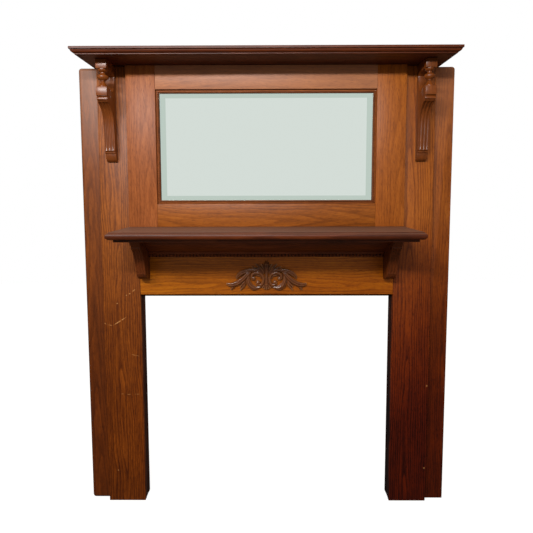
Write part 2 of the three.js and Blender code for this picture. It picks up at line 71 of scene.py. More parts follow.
# Camera: fitted to the edges of the mantel in the photograph, heights above the floor
cameraSet = {
    "place": (11.4, -1946.7, 1357.7),   # mm
    "pitch": 4.655,                     # degrees down
    "yaw": 0.331,                       # degrees to the left
    "roll": -0.125,
    "focal": 450.0,                     # pixels of the 533 pixel frame
    "frameSize": 533.0,
    "principalY": 227.1,
    "sensor": 36.0,
}


def addCamera(look):
    pitch, yaw, roll = (math.radians(look[key]) for key in ("pitch", "yaw", "roll"))
    right = Vector((math.cos(yaw), math.sin(yaw), 0))
    level = Vector((-math.sin(yaw), math.cos(yaw), 0))
    forward = level * math.cos(pitch) - Vector((0, 0, math.sin(pitch)))
    up = right.cross(forward)
    turnedRight = right * math.cos(roll) + up * math.sin(roll)
    turnedUp = up * math.cos(roll) - right * math.sin(roll)
    selectOnly()
    bpy.ops.object.camera_add()
    camera = bpy.context.object
    x, y, z = look["place"]
    axes = Matrix((turnedRight, turnedUp, -forward)).transposed().to_4x4()
    camera.matrix_world = Matrix.Translation((x * mm, y * mm, floorZ + z * mm)) @ axes
    camera.data.sensor_width = look["sensor"]
    camera.data.lens = look["sensor"] * look["focal"] / look["frameSize"]
    camera.data.shift_y = (look["principalY"] - look["frameSize"] / 2) / look["frameSize"]
    bpy.context.scene.camera = camera


addCamera(cameraSet)


# Studio: one lamp high on the left, a broad pale card behind the camera, a soft sky
studioSet = {
    "lamp": (-0.7, -2.14, 2.39),        # m, height above the floor
    "lampAim": (-0.1, 0.0, 1.35),
    "lampSize": (2.2, 0.1),
    "lampPower": 62.0,
    "card": (0.0, -2.6, 1.6),
    "cardAim": (0.0, 0.0, 1.6),
    "cardSize": (2.9, 2.2),
    "cardPower": 15.2,
    "skyLight": 0.7,
    "skyBelow": 0.12,
    "skyGloss": 0.04,
    "skyColour": (1, 0.93, 0.84, 1),
    "backdrop": 1.0,
    "floorSize": 9.0,
    "floorGap": 0.5,                    # mm below the feet
    "floorColour": "#8f8e8c",
    "floorGlow": 0.86,
}


def addLamp(name, look):
    selectOnly()
    x, y, z = look[name]
    start = Vector((x, y, floorZ + z))
    bpy.ops.object.light_add(type="AREA", location=start)
    lamp = bpy.context.object
    lamp.name = name
    ax, ay, az = look[name + "Aim"]
    towards = Vector((ax, ay, floorZ + az)) - start
    lamp.rotation_euler = towards.to_track_quat("-Z", "Y").to_euler()
    lamp.data.energy = look[name + "Power"]
    lamp.data.shape = "RECTANGLE"
    lamp.data.size, lamp.data.size_y = look[name + "Size"]
    return lamp


lamp = addLamp("lamp", studioSet)
card = addLamp("card", studioSet)


def linearColour(hexText):
    values = [int(hexText[i:i + 2], 16) / 255 for i in (1, 3, 5)]
    return [v / 12.92 if v <= 0.04045 else ((v + 0.055) / 1.055) ** 2.4 for v in values] + [1.0]


def addNode(tree, kind, settings=None, links=None):
    node = tree.nodes.new(kind)
    for key, value in (settings or {}).items():
        if key == "stops":
            ramp = node.color_ramp
            while len(ramp.elements) < len(value):
                ramp.elements.new(0.5)
            for element, (at, colour) in zip(ramp.elements, value):
                element.position = at
                element.color = linearColour(colour) if isinstance(colour, str) else [colour] * 3 + [1.0]
        elif isinstance(key, str) and hasattr(node, key):
            setattr(node, key, value)
        else:
            node.inputs[key].default_value = value
    for key, source in (links or {}).items():
        tree.links.new(source, node.inputs[key])
    return node


# Sky light from above, dim below and in the varnish's gloss; white to the camera
def addSky(look):
    world = bpy.data.worlds.new("studio")
    bpy.context.scene.world = world
    world.use_nodes = True
    tree = world.node_tree
    tree.nodes.clear()
    direction = addNode(tree, "ShaderNodeTexCoord").outputs["Generated"]
    upward = addNode(tree, "ShaderNodeSeparateXYZ", {}, {"Vector": direction}).outputs["Z"]
    strength = addNode(tree, "ShaderNodeMapRange", {
        "From Min": -0.4, "From Max": 0.15, "To Min": look["skyBelow"], "To Max": look["skyLight"],
    }, {"Value": upward}).outputs[0]
    path = addNode(tree, "ShaderNodeLightPath")
    light = addNode(tree, "ShaderNodeBackground", {"Color": look["skyColour"]}, {"Strength": strength})
    gloss = addNode(tree, "ShaderNodeBackground", {
        "Color": look["skyColour"], "Strength": look["skyGloss"],
    })
    white = addNode(tree, "ShaderNodeBackground", {"Color": (1, 1, 1, 1), "Strength": look["backdrop"]})
    unseen = addNode(
        tree, "ShaderNodeMixShader", {},
        {0: path.outputs["Is Glossy Ray"], 1: light.outputs[0], 2: gloss.outputs[0]},
    )
    both = addNode(
        tree, "ShaderNodeMixShader", {},
        {0: path.outputs["Is Camera Ray"], 1: unseen.outputs[0], 2: white.outputs[0]},
    )
    addNode(tree, "ShaderNodeOutputWorld", {}, {"Surface": both.outputs[0]})


addSky(studioSet)
bpy.context.scene.view_settings.view_transform = "Standard"


def newMaterial(name):
    material = bpy.data.materials.new(name)
    material.use_nodes = True
    material.node_tree.nodes.clear()
    return material, material.node_tree


def addFloor(look):
    material, tree = newMaterial("paleMattePaper")   # matt paper roll, no gloss
    shader = addNode(tree, "ShaderNodeBsdfPrincipled", {
        "Base Color": linearColour(look["floorColour"]), "Roughness": 0.9,
        "Emission Color": linearColour("#ffffff"), "Emission Strength": look["floorGlow"],
    })
    addNode(tree, "ShaderNodeOutputMaterial", {}, {"Surface": shader.outputs[0]})
    selectOnly()
    height = floorZ - look["floorGap"] * mm
    bpy.ops.mesh.primitive_plane_add(size=look["floorSize"], location=(0, 0, height))
    floor = bpy.context.object
    floor.name = "floor"
    floor.data.materials.append(material)
    floor.visible_diffuse = floor.visible_glossy = False   # its white doesn't wash over the dark wood


addFloor(studioSet)
print("camera, lights and floor made")


# Oak, plain sawn, stained and varnished: annual rings cut into arches, long fibres, dark pores
oakSet = {
    "grain": "z",              # direction of the fibres
    "heart": (0, 40, 1200),    # mm: a point of the tree's axis, z above the floor
    "tilt": 1.3,               # degrees between the tree's axis and the board
    "ringSpacing": 8.0,        # mm between annual rings
    "wander": 26.0,            # mm that the rings stray
    # scale, detail and stretch along the grain; pores are 0.3 mm wide in oak, drawn about 2 mm wide
    "noises": {"stray": (7, 2.5, 0.22), "fibre": (300, 3, 0.1), "streak": (60, 4, 0.12),
               "cloud": (4.5, 2, 0.4), "pore": (520, 1.5, 0.1)},
    "figure": 0.36,            # how much rings, fibres, streaks and clouds change the tone
    "weights": {"fibre": 0.7, "streak": 0.8, "cloud": 0.7},
    "light": "#a0581a",
    "mid": "#82430d",
    "dark": "#5a2706",
    "pore": 0.4,
    "poreTint": "#5a2e14",
    "gloss": 0.3,              # strength of the varnish's shine
    "bump": 0.12,              # mm
    "roughness": 0.42,
    "lowShade": 1.0,                # how much painted shade darkens the wood below the mid shelf
    "lowShadeHeights": (1.25, 0.35),   # m above the floor, from least to most
    "lowShadeSides": (-0.6, 0.65),     # m from the middle, from least to most
    # tint multiplied in with the painted shade
    "lowShadeTint": "#efff60",
    "paintedSheen": 0.0,              # painted sheen: paler and pinker towards the top, in place of the lamp's reflection in the varnish
    "paintedSheenHeights": (1.45, 1.85),
    "paintedSheenTint": "#c99c84",
    "recess": 0.0,             # stain gathered in hollows plus painted shade there; ridges worn paler plus a painted highlight
    "hollowStainShadeTint": "#4a2410",
    "ridgeWearHighlightTint": "#c48e60",
    "dust": 0.0,
    "dustTint": "#836555",
    "marks": [],
    "markTint": "#cf9456",     # pale raw wood
}


def oak(name, changes):
    look = {**oakSet, **changes}
    material, tree = newMaterial(name)
    coords = addNode(tree, "ShaderNodeTexCoord").outputs["Object"]
    x, y, z = look["heart"]
    centred = addNode(tree, "ShaderNodeVectorMath", {
        "operation": "SUBTRACT", 1: (x * mm, faceY + y * mm, floorZ + z * mm),
    }, {0: coords})
    turn = (0, -math.pi / 2, 0) if look["grain"] == "x" else (0, 0, 0)
    turned = addNode(tree, "ShaderNodeMapping", {"Rotation": turn}, {"Vector": centred.outputs[0]})
    tilt = (math.radians(look["tilt"]), math.radians(0.35 * look["tilt"]), 0)
    tilted = addNode(tree, "ShaderNodeMapping", {"Rotation": tilt}, {"Vector": turned.outputs[0]})
    grain = tilted.outputs[0]
    noises = {}
    for key, (scale, detail, stretch) in look["noises"].items():
        stretched = addNode(tree, "ShaderNodeVectorMath", {
            "operation": "MULTIPLY", 1: (1, 1, stretch),
        }, {0: grain})
        noises[key] = addNode(tree, "ShaderNodeTexNoise", {
            "Scale": scale, "Detail": detail, "Roughness": 0.6,
        }, {"Vector": stretched.outputs[0]})

    middle = addNode(tree, "ShaderNodeVectorMath", {"operation": "SUBTRACT", 1: (0.5, 0.5, 0.5)},
                     {0: noises["stray"].outputs["Color"]})
    pushed = addNode(tree, "ShaderNodeVectorMath", {
        "operation": "MULTIPLY_ADD", 1: (look["wander"] * 2 * mm,) * 3,
    }, {0: middle.outputs[0], 2: grain})
    waveScale = 2 * math.pi / (20 * look["ringSpacing"] * mm)   # Blender's wave has 20 radians a unit
    rings = addNode(tree, "ShaderNodeTexWave", {
        "wave_type": "RINGS", "rings_direction": "Z", "wave_profile": "SAW",
        "Scale": waveScale, "Distortion": 0.0,
    }, {"Vector": pushed.outputs[0]})
    ringTone = addNode(tree, "ShaderNodeValToRGB", {
        "stops": [(0.0, 0.95), (0.16, 0.8), (0.5, 0.2), (0.9, 0.0), (1.0, 0.9)],
    }, {"Fac": rings.outputs["Fac"]})
    level = 0.5 - 0.4 * look["figure"] - 0.5 * sum(look["weights"].values())
    tone = addNode(tree, "ShaderNodeMath", {"operation": "MULTIPLY_ADD", 1: look["figure"], 2: level},
                   {0: ringTone.outputs["Color"]})
    for key, weight in look["weights"].items():
        tone = addNode(tree, "ShaderNodeMath", {"operation": "MULTIPLY_ADD", 1: weight},
                       {0: noises[key].outputs["Fac"], 2: tone.outputs[0]})
    colour = addNode(tree, "ShaderNodeValToRGB", {
        "stops": [(0.0, look["light"]), (0.45, look["mid"]), (1.0, look["dark"])],
    }, {"Fac": tone.outputs[0]}).outputs["Color"]

    pores = addNode(tree, "ShaderNodeMapRange", {
        "From Min": 0.56, "From Max": 0.68, "To Max": look["pore"],
    }, {"Value": noises["pore"].outputs["Fac"]}).outputs[0]
    colour = addNode(tree, "ShaderNodeMix", {
        "data_type": "RGBA", "blend_type": "MULTIPLY", 7: linearColour(look["poreTint"]),
    }, {0: pores, 6: colour}).outputs[2]

    # Painted shade: deeper, more saturated colour below the mid shelf and most on the right-hand side,
    # standing in for the lamp's light falling off there and the mid shelf's broad shadow
    parts = addNode(tree, "ShaderNodeSeparateXYZ", {}, {"Vector": coords})
    least, most = look["lowShadeHeights"]
    lowness = addNode(tree, "ShaderNodeMapRange", {
        "From Min": floorZ + least, "From Max": floorZ + most, "To Max": 0.9 * look["lowShade"],
    }, {"Value": parts.outputs["Z"]})
    least, most = look["lowShadeSides"]
    rightness = addNode(tree, "ShaderNodeMapRange", {
        "From Min": least, "From Max": most, "To Min": 0.2,
    }, {"Value": parts.outputs["X"]})
    deep = addNode(tree, "ShaderNodeMath", {"operation": "MULTIPLY_ADD", 2: 1.0},
                   {0: lowness.outputs[0], 1: rightness.outputs[0]})
    shadedColour = addNode(tree, "ShaderNodeGamma", {}, {"Color": colour, "Gamma": deep.outputs[0]}).outputs[0]
    shadeTintShare = addNode(tree, "ShaderNodeMath", {"operation": "SUBTRACT", 1: 1.0},
                    {0: deep.outputs[0]}).outputs[0]
    colour = addNode(tree, "ShaderNodeMix", {
        "data_type": "RGBA", "blend_type": "MULTIPLY", 7: linearColour(look["lowShadeTint"]),
    }, {0: shadeTintShare, 6: shadedColour}).outputs[2]

    # Painted sheen: the colour turns pale pink towards the top, standing in for the lamp's reflection in
    # the varnish
    if look["paintedSheen"]:
        least, most = look["paintedSheenHeights"]
        sheenShare = addNode(tree, "ShaderNodeMapRange", {
            "From Min": floorZ + least, "From Max": floorZ + most, "To Max": look["paintedSheen"],
        }, {"Value": parts.outputs["Z"]})
        colour = addNode(tree, "ShaderNodeMix", {"data_type": "RGBA", 7: linearColour(look["paintedSheenTint"])},
                         {0: sheenShare.outputs[0], 6: colour}).outputs[2]

    # Darker in hollows: partly stain gathered there, partly painted shade. Paler on ridges: partly worn,
    # partly a painted highlight
    if look["recess"]:
        pointy = addNode(tree, "ShaderNodeNewGeometry").outputs["Pointiness"]
        hollow = addNode(tree, "ShaderNodeMapRange", {
            "From Min": 0.5, "From Max": 0.46, "To Max": look["recess"],
        }, {"Value": pointy})
        ridge = addNode(tree, "ShaderNodeMapRange", {
            "From Min": 0.505, "From Max": 0.56, "To Max": look["recess"],
        }, {"Value": pointy})
        colour = addNode(tree, "ShaderNodeMix", {
            "data_type": "RGBA", "blend_type": "MULTIPLY", 7: linearColour(look["hollowStainShadeTint"]),
        }, {0: hollow.outputs[0], 6: colour}).outputs[2]
        colour = addNode(tree, "ShaderNodeMix", {"data_type": "RGBA", 7: linearColour(look["ridgeWearHighlightTint"])},
                         {0: ridge.outputs[0], 6: colour}).outputs[2]

    if look["dust"]:
        facing = addNode(tree, "ShaderNodeNewGeometry").outputs["Normal"]
        upward = addNode(tree, "ShaderNodeSeparateXYZ", {}, {"Vector": facing}).outputs["Z"]
        dusty = addNode(tree, "ShaderNodeMapRange", {
            "From Min": 0.5, "From Max": 0.95, "To Max": look["dust"],
        }, {"Value": upward}).outputs[0]
        colour = addNode(tree, "ShaderNodeMix", {"data_type": "RGBA", 7: linearColour(look["dustTint"])},
                         {0: dusty, 6: colour}).outputs[2]

    # Scratches and chips show pale raw wood, ragged along the fibres
    ragged = addNode(tree, "ShaderNodeMapRange", {"From Min": 0.4, "From Max": 0.52},
                     {"Value": noises["fibre"].outputs["Fac"]}).outputs[0]
    for mark in look["marks"]:
        mx, mz = mark["at"]
        local = addNode(tree, "ShaderNodeMapping", {
            "vector_type": "TEXTURE", "Location": (mx * mm, faceY, floorZ + mz * mm),
            "Rotation": (0, math.radians(-mark["angle"]), 0),
            "Scale": (mark["length"] / 2 * mm, 1.0, mark["width"] / 2 * mm),
        }, {"Vector": coords})
        spot = addNode(tree, "ShaderNodeTexGradient", {"gradient_type": "SPHERICAL"},
                       {"Vector": local.outputs[0]})
        worn = addNode(tree, "ShaderNodeMapRange", {"From Max": 0.5, "To Max": 0.8 * mark["strength"]},
                       {"Value": spot.outputs["Fac"]})
        torn = addNode(tree, "ShaderNodeMath", {"operation": "MULTIPLY"}, {0: worn.outputs[0], 1: ragged})
        colour = addNode(tree, "ShaderNodeMix", {"data_type": "RGBA", 7: linearColour(look["markTint"])},
                         {0: torn.outputs[0], 6: colour}).outputs[2]

    gloss = addNode(tree, "ShaderNodeMapRange", {
        "To Min": look["roughness"] - 0.06, "To Max": look["roughness"] + 0.1,
    }, {"Value": noises["streak"].outputs["Fac"]}).outputs[0]
    relief = addNode(tree, "ShaderNodeMath", {"operation": "MULTIPLY_ADD", 1: -4.0},
                     {0: pores, 2: noises["fibre"].outputs["Fac"]}).outputs[0]
    bump = addNode(tree, "ShaderNodeBump", {
        "Strength": 0.35, "Distance": look["bump"] * mm,
    }, {"Height": relief})
    shader = addNode(tree, "ShaderNodeBsdfPrincipled", {"Specular IOR Level": look["gloss"]},
                     {"Base Color": colour, "Roughness": gloss, "Normal": bump.outputs[0]})
    addNode(tree, "ShaderNodeOutputMaterial", {}, {"Surface": shader.outputs[0]})
    return material


def applyModifier(piece, kind, settings):
    modifier = piece.modifiers.new(kind.lower(), kind)
    for key, value in settings.items():
        setattr(modifier, key, value)
    bpy.ops.object.modifier_apply(modifier=modifier.name)


def easeEdges(piece, width):
    applyModifier(piece, "BEVEL", {
        "width": width * mm, "segments": 2, "limit_method": "ANGLE", "angle_limit": math.radians(50),
    })


def repeatPiece(piece, count, step):
    applyModifier(piece, "ARRAY", {
        "count": count, "use_relative_offset": False, "use_constant_offset": True,
        "constant_offset_displace": step,
    })


def finishPiece(piece, name, material, nodes, angle=32):
    selectOnly(piece)
    bpy.ops.object.transform_apply(location=True, rotation=True, scale=True)
    bpy.ops.object.shade_smooth_by_angle(angle=math.radians(angle))
    piece.name = name
    if material:
        piece.data.materials.clear()
        piece.data.materials.append(material)
    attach(piece, "root")
    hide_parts(*nodes)


# Flat boards: sawn and planed, edges eased by sanding; corner -1 or 1 rounds the top left or right
boardSet = {"edge": 1.2, "corner": 12.0}   # mm


def board(node, name, material, corner=0):
    selectOnly()
    low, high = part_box(node)
    bpy.ops.mesh.primitive_cube_add(size=1, location=(low + high) / 2)
    plank = bpy.context.object
    plank.scale = high - low
    bpy.ops.object.transform_apply(location=True, rotation=True, scale=True)
    if corner:
        for edge in plank.data.edges:
            ends = [plank.data.vertices[i].co - (low + high) / 2 for i in edge.vertices]
            edge.select = all(end.x * corner > 0 and end.z > 0 for end in ends)
        for face in plank.data.polygons:
            face.select = False
        bpy.ops.object.mode_set(mode="EDIT")
        bpy.ops.mesh.select_mode(type="EDGE")
        bpy.ops.mesh.bevel(offset=boardSet["corner"] * mm, segments=6, affect="EDGES")
        bpy.ops.object.mode_set(mode="OBJECT")
    easeEdges(plank, boardSet["edge"])
    finishPiece(plank, name, material, [node])


leftLegMarks = [
    {"at": (-625, 804), "length": 74, "width": 5, "angle": 32, "strength": 1.0},
    {"at": (-687, 794), "length": 22, "width": 4, "angle": -26, "strength": 0.5},
    {"at": (-667, 787), "length": 22, "width": 4.5, "angle": -9, "strength": 0.6},
    {"at": (-562, 937), "length": 20, "width": 5, "angle": 39, "strength": 0.9},
    {"at": (-580, 923), "length": 8, "width": 6, "angle": 26, "strength": 0.9},
    {"at": (-593, 916), "length": 8, "width": 6, "angle": 30, "strength": 0.9},
    {"at": (-634, 881), "length": 8, "width": 6, "angle": 31, "strength": 0.8},
    {"at": (-562, 655), "length": 40, "width": 4, "angle": -12, "strength": 0.6},
    {"at": (-622, 484), "length": 14, "width": 4, "angle": 0, "strength": 0.5},
    {"at": (-594, 482), "length": 18, "width": 4, "angle": 0, "strength": 0.5},
    {"at": (-558, 483), "length": 30, "width": 4, "angle": 0, "strength": 0.5},
    {"at": (-650, 139), "length": 9, "width": 8, "angle": 0, "strength": 0.8},
]

rightLegMarks = [
    {"at": (686, 520), "length": 9, "width": 12, "angle": 0, "strength": 0.7},
    {"at": (685, 150), "length": 9, "width": 10, "angle": 0, "strength": 0.7},
]

boardLooks = {
    "outer_board_left": {"heart": (-740, 55, 700), "light": "#8a4814", "mid": "#70370c", "dark": "#502405",
                         "paintedSheen": 0.28},
    "outer_board_right": {"heart": (760, 30, 900), "lowShade": 0.8, "paintedSheen": 0.12,
                          "light": "#a65c1a", "mid": "#8e4912", "dark": "#642d07"},
    "pilaster_left": {"heart": (-622, 14, 900), "ringSpacing": 9.0, "wander": 40.0, "figure": 0.55,
                      "weights": {"fibre": 0.9, "streak": 0.9, "cloud": 0.9}, "marks": leftLegMarks},
    "pilaster_right": {"heart": (600, 14, 420), "ringSpacing": 9.0, "figure": 0.5, "marks": rightLegMarks,
                       "light": "#ae611c", "mid": "#954e12", "dark": "#662d06", "lowShade": 1.15},
    "mirror_stile_left": {"heart": (-470, 60, 1500), "figure": 0.22, "light": "#b06732", "mid": "#965226",
                          "dark": "#6c3410"},
    "mirror_stile_right": {"heart": (560, 60, 1500), "figure": 0.22, "light": "#b76822", "mid": "#9e5519",
                           "dark": "#70350a"},
    "mirror_rail_top": {"grain": "x", "heart": (-200, 50, 1790), "figure": 0.22, "light": "#b87038",
                        "mid": "#a05c2c", "dark": "#743a14", "paintedSheen": 0.25},
    "mirror_rail_bottom": {"grain": "x", "heart": (250, 60, 1230), "figure": 0.3, "light": "#a8601e",
                           "mid": "#8e4c12", "dark": "#622f0a"},
    "frieze": {"grain": "x", "heart": (120, 18, 960), "figure": 0.28, "ringSpacing": 11.0, "wander": 40.0,
               "weights": {"fibre": 0.4, "streak": 0.55, "cloud": 0.9},
               "light": "#cc801b", "mid": "#ae620f", "dark": "#703806", "lowShade": 0.8},
}


def addBoards():
    sawnPine = {"light": "#c9a97c", "mid": "#b08f62", "dark": "#8a6a43", "roughness": 0.75, "lowShade": 0.0}
    darkOak = {"light": "#6e3616", "mid": "#52260c", "dark": "#381706"}
    corners = {"outer_board_left": -1, "outer_board_right": 1}
    for node, look in boardLooks.items():
        board(node, node + "_board", oak("stainedOak_" + node, look), corners.get(node, 0))
    pine = oak("sawnPine", sawnPine)
    pineLevel = oak("sawnPineLevel", {**sawnPine, "grain": "x"})
    for node in ("outer_return_left", "outer_return_right"):
        board(node, node + "_board", pine)
    for node in ("back_rail_middle", "back_rail_top", "mirror_backing"):
        board(node, node + "_board", pineLevel)
    lining = oak("darkStainedOak", darkOak)
    liningLevel = oak("darkStainedOakLevel", {**darkOak, "grain": "x"})
    for node in ("jamb_lining_left", "jamb_lining_right", "jamb_fillet_left", "jamb_fillet_right"):
        board(node, node + "_board", lining)
    board("head_lining", "head_lining_board", liningLevel)


addBoards()
print("boards made")


shelfOak = oak("darkStainedOakShelf", {
    "grain": "x", "heart": (200, 50, 1300), "light": "#6e3312", "mid": "#54230a", "dark": "#351406",
    "dust": 0.5, "lowShade": 0.3, "pore": 0.15, "bump": 0.04,
})
carvedOak = oak("stainedOakTurned", {
    "heart": (0, 90, 1500), "light": "#97541f", "mid": "#763b12", "dark": "#482107", "lowShade": 0.2,
    "figure": 0.06, "roughness": 0.3, "gloss": 0.55, "pore": 0.15, "bump": 0.03,
})
ornamentOak = oak("stainedOakCarved", {
    "heart": (0, 90, 1500), "light": "#7c4218", "mid": "#62300e", "dark": "#3e1c07", "lowShade": 0.2,
    "figure": 0.06, "roughness": 0.28, "gloss": 0.65, "recess": 0.9, "pore": 0.15, "bump": 0.02,
})
smallBracketOak = oak("darkStainedOakBracket", {
    "heart": (0, 90, 1500), "light": "#8a4a20", "mid": "#6c3312", "dark": "#462008", "figure": 0.1,
    "lowShade": 0.2, "pore": 0.3,
})
darkOakMoulding = oak("darkStainedOakMoulding", {
    "grain": "x", "heart": (0, 90, 1500), "light": "#8c4620", "mid": "#6e3212", "dark": "#46200a",
    "figure": 0.1, "lowShade": 0.2, "pore": 0.2, "bump": 0.04,
})
# Strip behind the beads: near black, painted shade for the gaps between the beads
beadGapShadeOak = oak("beadBedPaintedShade", {
    "grain": "x", "heart": (0, 90, 1500), "light": "#3c1a0a", "mid": "#2c1206", "dark": "#1c0b04",
    "figure": 0.1, "pore": 0.2, "bump": 0.04,
})


pilasterFront = -73.0   # mm, the plane that brackets and mouldings stand on


def atHeight(x, y, z):
    return Vector((x * mm, y * mm, floorZ + z * mm))   # mm, z above the floor


def editAll():
    bpy.ops.object.mode_set(mode="EDIT")
    bpy.ops.mesh.select_all(action="SELECT")


# Chain of edges through the points, each extruded from the one before
def traceLine(points):
    selectOnly()
    bpy.ops.mesh.primitive_plane_add(size=0.001, location=points[0])
    editAll()
    bpy.ops.mesh.select_mode(type="VERT")
    bpy.ops.mesh.merge(type="CENTER")
    for before, after in zip(points, points[1:]):
        bpy.ops.mesh.extrude_vertices_move(TRANSFORM_OT_translate={"value": after - before})
    bpy.ops.mesh.select_all(action="SELECT")
    return bpy.context.object


# Outline filled and pulled out into a solid
def outlineSolid(points, pull):
    piece = traceLine(points)
    bpy.ops.mesh.edge_face_add()
    bpy.ops.mesh.extrude_region_move(TRANSFORM_OT_translate={"value": pull})
    bpy.ops.mesh.select_all(action="SELECT")
    bpy.ops.mesh.normals_make_consistent(inside=False)
    bpy.ops.object.mode_set(mode="OBJECT")
    bpy.ops.object.transform_apply(location=True, rotation=True, scale=True)
    return piece


# Round stroke along a path, with a radius at each point
def traceTube(points, radii, sides):
    piece = traceLine(points)
    bpy.ops.object.mode_set(mode="OBJECT")
    bpy.ops.object.transform_apply(location=True, rotation=True, scale=True)
    bpy.ops.object.convert(target="CURVE")
    tube = bpy.context.object
    tube.data.bevel_depth = mm
    tube.data.bevel_resolution = sides // 4
    tube.data.use_fill_caps = True
    for spline in tube.data.splines:
        for i, point in enumerate(spline.points):
            point.radius = radii[min(i, len(radii) - 1)]
    bpy.ops.object.convert(target="MESH")
    tube = bpy.context.object
    editAll()
    bpy.ops.mesh.remove_doubles(threshold=0.00001)
    bpy.ops.mesh.normals_make_consistent(inside=False)
    bpy.ops.object.mode_set(mode="OBJECT")
    return tube


def joinPieces(pieces):
    selectOnly(*pieces)
    bpy.ops.object.join()
    return bpy.context.object


def copyPiece(piece, shift):
    selectOnly(piece)
    bpy.ops.object.duplicate()
    bpy.ops.transform.translate(value=shift)
    bpy.ops.object.transform_apply(location=True, rotation=False, scale=False)
    return bpy.context.object


# Points of a smooth curve through the given ones
def smoothPath(points, steps):
    ends = [points[0]] + list(points) + [points[-1]]
    path = []
    for i in range(len(points) - 1):
        a, b, c, d = (Vector(p) for p in ends[i:i + 4])
        for k in range(steps):
            t = k / steps
            path.append(0.5 * (2 * b + (c - a) * t + (2 * a - 5 * b + 4 * c - d) * t * t
                               + (3 * b - a - 3 * c + d) * t ** 3))
    return path + [Vector(points[-1])]


def shareAt(values, t):
    place = t * (len(values) - 1)
    i = min(len(values) - 2, int(place))
    return values[i] + (values[i + 1] - values[i]) * (place - i)


# Shelves: a board whose front and ends carry one moulded edge, as [out, height] in mm
shelfSets = {
    "top_shelf": {
        "halfWidth": 707, "reach": 238, "back": 0, "bottom": 1861,
        "edge": [(0, 0), (1.2, 0.3), (1.6, 0.9), (1.6, 3.1), (2.2, 3.5), (2.0, 4.3), (4.5, 4.9),
                 (8.2, 6.3), (11, 8.7), (12.6, 11.4), (12.9, 13.4), (12.1, 15.1), (10.8, 15.8),
                 (10.8, 16.5), (17, 16.7), (17.5, 17.2), (17.5, 24.6), (17, 25.6), (16, 26)],
    },
    "mid_shelf": {
        "halfWidth": 567, "reach": 333, "back": -73.3, "bottom": 1180,
        "edge": [(1.2, 0), (4.6, 1), (7.6, 3), (9.9, 6), (11.4, 9.6), (12, 13.6), (11.6, 17), (10, 20),
                 (7.6, 22.3), (5, 23.2), (4, 23.7), (4, 26.3), (3.1, 27.5), (1.4, 28)],
    },
}


def addShelf(node, look):
    selectOnly()
    reach, back = look["reach"] * mm, look["back"] * mm
    half, bottom = look["halfWidth"] * mm, floorZ + look["bottom"] * mm
    out, height = (v * mm for v in look["edge"][0])
    bpy.ops.mesh.primitive_plane_add(size=1, location=(0, (back - reach - out) / 2, bottom + height))
    shelf = bpy.context.object
    shelf.scale = (2 * (half + out), reach + out + back, 1)
    bpy.ops.object.transform_apply(location=True, rotation=True, scale=True)
    editAll()
    for nextOut, nextHeight in look["edge"][1:]:
        rise = nextHeight * mm - height
        bpy.ops.mesh.extrude_region_move(TRANSFORM_OT_translate={"value": (0, 0, rise)})
        newOut = nextOut * mm
        grow = ((half + newOut) / (half + out), (reach + newOut + back) / (reach + out + back), 1)
        bpy.ops.transform.resize(value=grow, center_override=(0, back, bottom))
        out, height = newOut, nextHeight * mm
    bpy.ops.mesh.select_all(action="SELECT")
    bpy.ops.mesh.normals_make_consistent(inside=False)
    bpy.ops.object.mode_set(mode="OBJECT")
    finishPiece(shelf, node + "_moulded", shelfOak, [node], 24)


for shelfNode, shelfLook in shelfSets.items():
    addShelf(shelfNode, shelfLook)
board("mid_shelf_strip", "mid_shelf_strip_board", shelfOak)
print("shelves made")


# Brackets: [reach, height above the floor] of the side outline, with flutes down the front
bracketSets = {
    "upper_bracket": {
        "centre": 634, "thickness": 42, "slot": "oak_carved", "eased": 0.9,
        "flute": 6.2, "fluteDepth": 2.5, "count": 3,
        "top": [(0.3, 1860.7), (65.7, 1860.7), (65.7, 1827), (41, 1825.6)],
        "notch": [(17, 1815), (18.5, 1801.5), (21.4, 1787), (27.2, 1769), (35, 1754.6),
                  (43.8, 1747.6), (53.5, 1745.6), (60, 1749.7), (65.7, 1758)],
        "upper": [(65.7, 1724.7), (106, 1724.7), (106, 1723.8)],
        "cove": [(106, 1723.8), (101, 1721.4), (98.5, 1717.6)],
        "fillet": [(98.5, 1717.6), (103.5, 1716.6), (103.5, 1709.8), (96, 1708.8), (94, 1703.5)],
        "curve": [(91, 1702.4), (77, 1694), (59, 1679), (46, 1658), (38.6, 1630), (34.6, 1580),
                  (31.9, 1519.7)],
        "foot": [(31.9, 1519.7), (26, 1516), (26, 1510)],
        "base": [(21.6, 1508), (20.5, 1497), (16.2, 1484), (9, 1477)],
    },
    "small_bracket": {
        "centre": 509, "thickness": 38, "slot": "oak_dark", "eased": 0.9,
        "flute": 5.0, "fluteDepth": 2.4, "count": 3,
        "top": [(0.3, 1169.7), (153, 1169.7)],
        "notch": [],
        "upper": [(153, 1160)],
        "cove": [(153, 1160), (146, 1149), (134, 1138)],
        "fillet": [(134, 1138), (134, 1131), (127, 1127)],
        "curve": [(127, 1127), (107, 1105), (93, 1079), (80, 1049), (67, 1019)],
        "foot": [(67, 1019), (62, 1013)],
        "base": [(62, 1013), (54, 1004), (33.7, 992.5), (13.8, 988)],
    },
}


